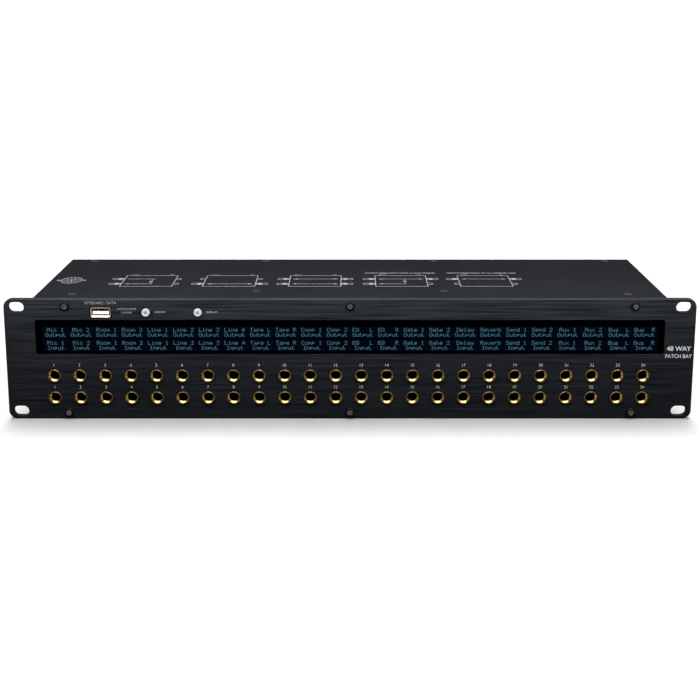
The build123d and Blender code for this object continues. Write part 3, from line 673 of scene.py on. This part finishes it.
def empty_socket(drawing, u, v, side):
    """The outline of a plug that is out of the box's side at (u, v)."""
    turn = 0 if side > 0 else 180
    nose = arc((u + side * 2.3, v), 1.7, turn - 90, turn + 90, 8)
    drawing.line([(u + side * 0.5, nose[0][1]), *nose, (u + side * 0.5, nose[-1][1])], LINE)


def arrow_head(drawing, u, v, side):
    """A filled arrow head whose tip is at (u, v)."""
    back = u - side * ARROW_LENGTH
    loop = [(u, v), (back, v - ARROW_HALF), (back, v + ARROW_HALF)]
    drawing.sheet(loop if side < 0 else loop[::-1])


def link(drawing, left, right, v, heads):
    """A signal line with arrow heads at the sides named."""
    start = left + (ARROW_LENGTH if "l" in heads else 0)
    end = right - (ARROW_LENGTH if "r" in heads else 0)
    drawing.line([(start, v), (end, v)], LINE)
    if "l" in heads:
        arrow_head(drawing, left, v, -1)
    if "r" in heads:
        arrow_head(drawing, right, v, 1)


def diagram(drawing, u, plugged, links, bridge, title):
    """One signal-flow figure, centred on u."""
    left, right = u - BOX_HALF, u + BOX_HALF
    corners = [(left, BOX_FRONT), (right, BOX_FRONT), (right, BOX_REAR), (left, BOX_REAR)]
    drawing.line(corners, LINE, closed=True)
    for corner in ("lu", "ll", "ru", "rl"):
        side = -1 if corner[0] == "l" else 1
        draw = plug if corner in plugged else empty_socket
        draw(drawing, u + side * BOX_HALF, BOX_ROWS[corner[1]], side)
    for row, length, heads in links:
        link(drawing, left + LINE_START, left + LINE_START + length, BOX_ROWS[row], heads)
    if bridge:
        drawing.line([(u + bridge, BOX_ROWS["u"]), (u + bridge, BOX_ROWS["l"])], LINE)
        arrow_head(drawing, u + bridge + ARROW_LENGTH / 2, (BOX_ROWS["u"] + BOX_ROWS["l"]) / 2, 1)
    drawing.text("OUT", (left + 5.5, BOX_REAR + 2.2), 1.9)
    drawing.text("IN", (right - 4.5, BOX_REAR + 2.2), 1.9)
    if title:
        drawing.text(title, (u, BOX_REAR + 6.6), 2.5, width=53.0, weight=0.02)


def emblem(drawing, u, v):
    """A plain mark: the end of a plug inside a graduated ring, with a short bar each side."""
    ring, barrel, tip = 7.4, 3.2, 1.2
    tick_ends = 4.3, 6.3
    bar_ends, bar_half = (8.4, 10.7), 1.0
    drawing.line(arc((u, v), ring, 0, 345, 23), 0.7, closed=True)
    drawing.line(arc((u, v), barrel, 0, 340, 17), 0.6, closed=True)
    drawing.sheet(arc((u, v), tip, 0, 330, 11))
    for i in range(12):
        angle = math.radians(30 * i + 15)
        ray = Vector((math.cos(angle), math.sin(angle)))
        drawing.line([Vector((u, v)) + ray * r for r in tick_ends], LINE)
    for side in (-1, 1):
        left, right = sorted(u + side * end for end in bar_ends)
        drawing.bar(left, v - bar_half, right, v + bar_half)


def cover_print():
    """The emblem and the figures along the middle of the top cover."""
    drawing = Print((1, 0, 0), (0, 1, 0))
    emblem(drawing, -206.7, 42.4)
    for figure in FIGURES:
        diagram(drawing, *figure)
    drawing.piece("cover_print", cover_ink, cover_top_z, "socket_white")


# ---------------------------------------------------------------- rear print
REAR_WORD_OFFSET = 8.6  # from the middle of a jack or the inlet to the middle of its word


def rear_print():
    """Numbers over and under the rear jacks, and a word over the inlet."""
    drawing = Print((-1, 0, 0), (0, 0, 1))

    def label(words, place, offset):
        centre = (-to_mm(place.x), to_mm(place.z) + offset)
        drawing.text(words, centre, NUMBER_HEIGHT, weight=0.004)

    for column in COLUMNS:
        label(str(column), jack_place("rear", "upper", column), REAR_WORD_OFFSET)
        label(str(column), jack_place("rear", "lower", column), -REAR_WORD_OFFSET)
    label("DC IN", Vector(mounts["dc_inlet"]["pos_m"]), REAR_WORD_OFFSET)
    drawing.piece("rear_print", cover_ink, rear_face_y, "socket_white")


# ---------------------------------------------------------------- words on the displays
# Each character is five dots wide and seven high, rows from the top.
GLYPHS = {
    "A": "01110 10001 10001 11111 10001 10001 10001",
    "B": "11110 10001 10001 11110 10001 10001 11110",
    "C": "01110 10001 10000 10000 10000 10001 01110",
    "D": "11110 10001 10001 10001 10001 10001 11110",
    "E": "11111 10000 10000 11110 10000 10000 11111",
    "G": "01110 10001 10000 10111 10001 10001 01110",
    "I": "01110 00100 00100 00100 00100 00100 01110",
    "L": "10000 10000 10000 10000 10000 10000 11111",
    "M": "10001 11011 10101 10101 10001 10001 10001",
    "O": "01110 10001 10001 10001 10001 10001 01110",
    "Q": "01110 10001 10001 10001 10101 10010 01101",
    "R": "11110 10001 10001 11110 10100 10010 10001",
    "S": "01111 10000 10000 01110 00001 00001 11110",
    "T": "11111 00100 00100 00100 00100 00100 00100",
    "a": "00000 00000 01110 00001 01111 10001 01111",
    "b": "10000 10000 10110 11001 10001 10001 11110",
    "c": "00000 00000 01110 10000 10000 10001 01110",
    "d": "00001 00001 01101 10011 10001 10001 01111",
    "e": "00000 00000 01110 10001 11111 10000 01110",
    "i": "00100 00000 01100 00100 00100 00100 01110",
    "l": "01100 00100 00100 00100 00100 00100 01110",
    "m": "00000 00000 11010 10101 10101 10001 10001",
    "n": "00000 00000 10110 11001 10001 10001 10001",
    "o": "00000 00000 01110 10001 10001 10001 01110",
    "p": "00000 00000 11110 10001 11110 10000 10000",
    "r": "00000 00000 10110 11001 10000 10000 10000",
    "s": "00000 00000 01110 10000 01110 00001 11110",
    "t": "01000 01000 11100 01000 01000 01001 00110",
    "u": "00000 00000 10001 10001 10001 10011 01101",
    "v": "00000 00000 10001 10001 10001 01010 00100",
    "x": "00000 00000 10001 01010 00100 01010 10001",
    "y": "00000 00000 10001 10001 01111 00001 01110",
    "1": "00100 01100 00100 00100 00100 00100 01110",
    "2": "01110 10001 00001 00010 00100 01000 11111",
    "3": "11111 00010 00100 00010 00001 10001 01110",
    "4": "00010 00110 01010 10010 11111 00010 00010",
}
CIRCUITS = (
    "Mic 1,Mic 2,Room 1,Room 2,Line 1,Line 2,Line 3,Line 4,Tape L,Tape R,Comp 1,Comp 2,"
    "EQ   L,EQ   R,Gate 1,Gate 2,Delay,Reverb,Send 1,Send 2,Aux 1,Aux 2,Bus  L,Bus  R"
).split(",")
DOTS_ACROSS, DOTS_HIGH = 5, 7
CHARACTER_STEP = 2.45 * MM
DOT_STEP = Vector((0.42, 0.41)) * MM
DOT = 0.29 * MM
DOT_PROUD = 0.02 * MM
ROW_OFFSET = 4.8 * MM  # from the middle of the displays to the middle of each row of cells
LINE_OFFSET = 1.85 * MM  # from the middle of a cell to the middle of each of its two lines


def dot_character(mesh, glyph, left, top, face_y):
    """The lit dots of one character, as small raised squares."""
    for row, dots in enumerate(GLYPHS[glyph].split()):
        for column, dot in enumerate(dots):
            if dot == "0":
                continue
            x = left + column * DOT_STEP.x
            z = top - row * DOT_STEP.y
            corners = [(x, z), (x, z - DOT), (x + DOT, z - DOT), (x + DOT, z)]
            outer = [mesh.verts.new((u, face_y - DOT_PROUD, v)) for u, v in corners]
            inner = [mesh.verts.new((u, face_y, v)) for u, v in corners]
            mesh.faces.new(outer)
            mesh.faces.new(inner[::-1])
            for i in range(4):
                j = (i + 1) % 4
                mesh.faces.new((outer[j], outer[i], inner[i], inner[j]))


def display_text():
    """Two lines for each circuit: its name, and which side of it the jack is."""
    low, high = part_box("display_modules")
    middle = (low.z + high.z) / 2
    cell = (high.x - low.x) / len(COLUMNS)
    gap = CHARACTER_STEP - DOTS_ACROSS * DOT_STEP.x
    mesh = bmesh.new()
    for row, side in ((1, "Output"), (-1, "Input")):
        row_middle = middle + row * ROW_OFFSET
        for column in COLUMNS:
            centre = low.x + (column - 0.5) * cell
            for line, words in ((1, CIRCUITS[column - 1]), (-1, side)):
                top = row_middle + line * LINE_OFFSET + (DOTS_HIGH - 1) / 2 * DOT_STEP.y + DOT / 2
                left = centre - len(words) / 2 * CHARACTER_STEP + gap / 2
                for i, glyph in enumerate(words):
                    if glyph != " ":
                        dot_character(mesh, glyph, left + i * CHARACTER_STEP, top, low.y)
    finished = bpy.data.meshes.new("display_text")
    mesh.to_mesh(finished)
    mesh.free()
    finished.materials.append(lit_dots)
    piece = bpy.data.objects.new("display_text", finished)
    bpy.context.scene.collection.objects.link(piece)
    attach(piece, "case")


# ---------------------------------------------------------------- studio
FLOOR_REACH = 30.0
# How bright the world is by height: 0 is straight down, 0.5 the horizon and 1 straight up.
BRIGHTEST = 3.7
WORLD_STOPS = (
    (0.0, 0.03),
    (0.40, 0.03),
    (0.42, 1.04),
    (0.56, 1.04),
    (0.61, 0.10),
    (0.90, 0.25),
    (0.95, 1.0),
    (0.965, BRIGHTEST),
)


def studio_floor():
    """A pale floor under the unit. It is kept out of reflections and of what shows through the
    window, where the world takes its place."""
    mesh = bpy.data.meshes.new("floor")
    sides = ((-1, -1), (1, -1), (1, 1), (-1, 1))
    corners = [(x * FLOOR_REACH, y * FLOOR_REACH, cad_low.z) for x, y in sides]
    mesh.from_pydata(corners, [], [(0, 1, 2, 3)])
    finish = Finish("floor", (0.9, 0.9, 0.9), 0.9, specular=0.0)
    mesh.materials.append(finish.material)
    floor = bpy.data.objects.new("floor", mesh)
    bpy.context.scene.collection.objects.link(floor)
    floor.visible_glossy = False
    floor.visible_transmission = False
    return floor


def studio_world():
    """Dark below, a pale band at the horizon, a dark wall over it and a round softbox overhead."""
    world = bpy.data.worlds.new("studio")
    world.use_nodes = True
    tree = world.node_tree
    background = tree.nodes["Background"]
    place = tree.nodes.new("ShaderNodeTexCoord")
    split = tree.nodes.new("ShaderNodeSeparateXYZ")
    ramp = tree.nodes.new("ShaderNodeValToRGB")
    height = tree.nodes.new("ShaderNodeMapRange")
    height.inputs["From Min"].default_value = -1.0
    tree.links.new(place.outputs["Generated"], split.inputs[0])
    tree.links.new(split.outputs["Z"], height.inputs["Value"])
    tree.links.new(height.outputs["Result"], ramp.inputs["Fac"])
    elements = ramp.color_ramp.elements
    while len(elements) < len(WORLD_STOPS):
        elements.new(0.5)
    for element, (stop, radiance) in zip(elements, WORLD_STOPS):
        element.position = stop
        element.color = (*[radiance / BRIGHTEST] * 3, 1.0)
    tree.links.new(ramp.outputs["Color"], background.inputs["Color"])
    background.inputs["Strength"].default_value = BRIGHTEST
    bpy.context.scene.world = world


# The lights hang at these places and point at MIDDLE or at PANEL_TOP. Sizes are length and width.
OVER_PANEL = (0, -0.045, 0.1)
OVER_COVER = (0, -0.05, 0.17)
OVERHEAD = (0, -0.53, 1.2)
MIDDLE = (0, 0, 0)
PANEL_TOP = (0, 0, 0.02)
NEAR_STRIP_SIZE = (0.6, 0.03)
LONG_STRIP_SIZE = (3.6, 0.3)
SHORT_STRIP_SIZE = (1.0, 0.3)
SUN_PLACE = (0, 0.3, 1.1)
SUN_STRENGTH = 1.4
SUN_SPREAD = math.radians(24)


def soft_light(name, place, aim, size, power, pieces, state):
    """A soft light, its power in watts, on only the pieces (INCLUDE) or all but them (EXCLUDE)."""
    light = bpy.data.lights.new(name, "AREA")
    light.shape = "RECTANGLE"
    light.size, light.size_y = size
    light.energy = power
    hang(name, light, place, aim, pieces, state)


def hang(name, light, place, aim, pieces, state):
    """The light at its place, turned towards aim, linked to pieces, and unseen by the camera."""
    made = bpy.data.objects.new(name, light)
    made.location = place
    made.rotation_euler = (Vector(aim) - Vector(place)).to_track_quat("-Z", "Y").to_euler()
    made.visible_camera = False
    bpy.context.scene.collection.objects.link(made)
    receivers = bpy.data.collections.new(f"{name}_receivers")
    for piece in pieces:
        receivers.objects.link(piece)
    for member in receivers.collection_objects:
        member.light_linking.link_state = state
    made.light_linking.receiver_collection = receivers


def floor_sun(floor):
    """A broad light from high up and a little behind, which gives the floor its near shadow."""
    light = bpy.data.lights.new("floor_sun", "SUN")
    light.energy = SUN_STRENGTH
    light.angle = SUN_SPREAD
    hang("floor_sun", light, SUN_PLACE, MIDDLE, [floor], "INCLUDE")


LENS_MM = 48.45
LENS_SHIFT = -0.3
CAMERA_PLACE = (0.0, -0.6329, 0.2530)
CAMERA_DIP = 8.77  # degrees below level


def photo_camera():
    """In front of the unit and above it, looking down a little through a shifted lens."""
    data = bpy.data.cameras.new("camera")
    data.lens = LENS_MM
    data.shift_y = LENS_SHIFT
    camera = bpy.data.objects.new("camera", data)
    camera.location = CAMERA_PLACE
    camera.rotation_euler = (math.radians(90 - CAMERA_DIP), 0, 0)
    bpy.context.scene.collection.objects.link(camera)
    bpy.context.scene.camera = camera


panel_print()
cover_print()
rear_print()
display_text()
floor = studio_floor()
studio_world()
panel = [nodes["front_panel"]]
cover = [nodes["top_cover"], bpy.data.objects["cover_print"]]
bright_names = ("front_sleeves_upper", "front_sleeves_lower", "usb_shell", "usb_tongue")
bright = [nodes[name] for name in bright_names]
soft_light("near_strip", OVER_PANEL, PANEL_TOP, NEAR_STRIP_SIZE, 3.4, panel, "INCLUDE")
soft_light("cover_strip", OVER_COVER, PANEL_TOP, NEAR_STRIP_SIZE, 1.1, cover, "INCLUDE")
soft_light("high_strip", OVERHEAD, MIDDLE, LONG_STRIP_SIZE, 18.0, [floor], "EXCLUDE")
soft_light("jack_strip", OVERHEAD, MIDDLE, SHORT_STRIP_SIZE, 32.0, bright, "INCLUDE")
floor_sun(floor)
photo_camera()
bpy.context.scene.view_settings.view_transform = "Standard"
